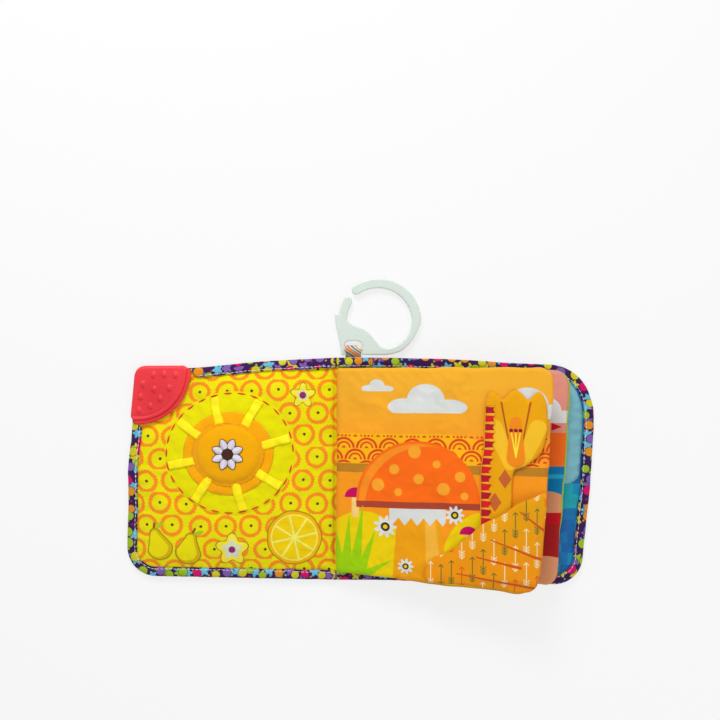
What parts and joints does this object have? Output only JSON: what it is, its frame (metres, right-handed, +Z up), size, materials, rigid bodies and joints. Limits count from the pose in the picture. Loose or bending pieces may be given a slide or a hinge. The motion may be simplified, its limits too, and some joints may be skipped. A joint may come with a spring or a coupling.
{
  "type": "crinkle cloth book",
  "caption": "Padded cloth book lying open, with a silicone teether corner, a quilted sun, two crinkle leaves, a sliding pocket figure and an open plastic link on a ribbon.",
  "frame": {"origin": "middle of the flat underside of the spine", "axes": "+X from the front cover to the back cover, +Y from the foot of the pages to their head, +Z up from the surface the open book lies on"},
  "size_m": [0.3527, 0.2326, 0.0484],
  "materials": {
    "binding_cloth": "printed woven cotton, purple ground with small bright shapes",
    "yellow_print": "brushed woven polyester, yellow with orange rings",
    "leaf_print": "woven polyester, orange picture print",
    "coral_print": "woven polyester, coral and blue bands",
    "lime_cloth": "woven polyester, lime green",
    "blue_print": "woven polyester, blue patchwork print",
    "teal_satin": "satin with a soft sheen",
    "batting": "loose polyester batting",
    "crinkle_film": "thin crinkled film",
    "red_silicone": "soft moulded silicone",
    "sun_yellow": "smooth plush cloth",
    "sun_orange": "soft velour",
    "ray_ribbon": "shiny satin ribbon",
    "pocket_print": "woven polyester with a drawn pattern",
    "figure_felt": "two layers of felt-backed cloth",
    "red_trim": "toothed tape",
    "striped_ribbon": "printed grosgrain ribbon",
    "link_plastic": "moulded plastic with a satin surface"
  },
  "bodies": {
    "spine": {"spine_outer_panel": "binding_cloth", "spine_batting": "batting", "spine_gutter_strip": "yellow_print", "spine_binding_head": "binding_cloth", "spine_binding_foot": "binding_cloth", "gutter_seam_tape": "leaf_print"},
    "front_cover": {"front_cover_outer_panel": "binding_cloth", "front_cover_batting": "batting", "front_cover_crinkle_film": "crinkle_film", "front_cover_inside_page": "yellow_print", "front_binding_head": "binding_cloth", "front_binding_side": "binding_cloth", "teether_corner": "red_silicone", "sun_base": "sun_yellow", "sun_ring": "sun_orange", "sun_ray_1": "ray_ribbon", "sun_ray_2": "ray_ribbon", "sun_ray_3": "ray_ribbon", "sun_ray_4": "ray_ribbon", "sun_ray_5": "ray_ribbon", "sun_ray_6": "ray_ribbon", "sun_ray_7": "ray_ribbon", "sun_ray_8": "ray_ribbon", "sun_centre_cover": "sun_orange", "sun_centre_filling": "batting"},
    "back_cover": {"back_cover_outer_panel": "binding_cloth", "back_cover_batting": "batting", "back_cover_crinkle_film": "crinkle_film", "back_cover_inside_page": "blue_print", "back_satin_panel": "teal_satin", "back_binding": "binding_cloth"},
    "top_leaf": {"top_leaf_front_panel": "leaf_print", "top_leaf_crinkle_film": "crinkle_film", "top_leaf_back_panel": "coral_print", "leaf_pocket": "pocket_print"},
    "low_leaf": {"low_leaf_front_panel": "coral_print", "low_leaf_crinkle_film": "crinkle_film", "low_leaf_back_panel": "lime_cloth"},
    "figure": {"pocket_figure": "figure_felt", "figure_trim": "red_trim"},
    "ribbon": {"ribbon_loop": "striped_ribbon"},
    "link": {"link_ring": "link_plastic"}
  },
  "joints": [
    {"name": "front_cover_fold", "type": "hinge", "parent": "spine", "child": "front_cover", "pos_m": [-0.0143, 0, 0.008], "axis": [0, -1, 0], "range_deg": [-155, 0]},
    {"name": "back_cover_fold", "type": "hinge", "parent": "spine", "child": "back_cover", "pos_m": [0.0143, 0, 0], "axis": [0, 1, 0], "range_deg": [0, 170]},
    {"name": "top_leaf_turn", "type": "hinge", "parent": "spine", "child": "top_leaf", "pos_m": [-0.0136, 0, 0.0101], "axis": [0, -1, 0], "range_deg": [0, 158]},
    {"name": "low_leaf_turn", "type": "hinge", "parent": "spine", "child": "low_leaf", "pos_m": [-0.0106, 0, 0.0074], "axis": [0, -1, 0], "range_deg": [0, 79]},
    {"name": "figure_slide", "type": "slide", "parent": "top_leaf", "child": "figure", "axis": [0, 1, 0], "range_m": [-0.018, 0.012]},
    {"name": "ribbon_swing", "type": "hinge", "parent": "spine", "child": "ribbon", "pos_m": [-0.0015, 0.0852, 0.004], "axis": [1, 0, 0], "range_deg": [0, 90]},
    {"name": "link_swing", "type": "hinge", "parent": "ribbon", "child": "link", "pos_m": [-0.0015, 0.091, 0.0029], "axis": [-1, 0, 0], "range_deg": [-85, 0]}
  ],
  "couplings": [
    {"joint": "low_leaf_turn", "follows": "top_leaf_turn", "ratio": 0.5}
  ]
}
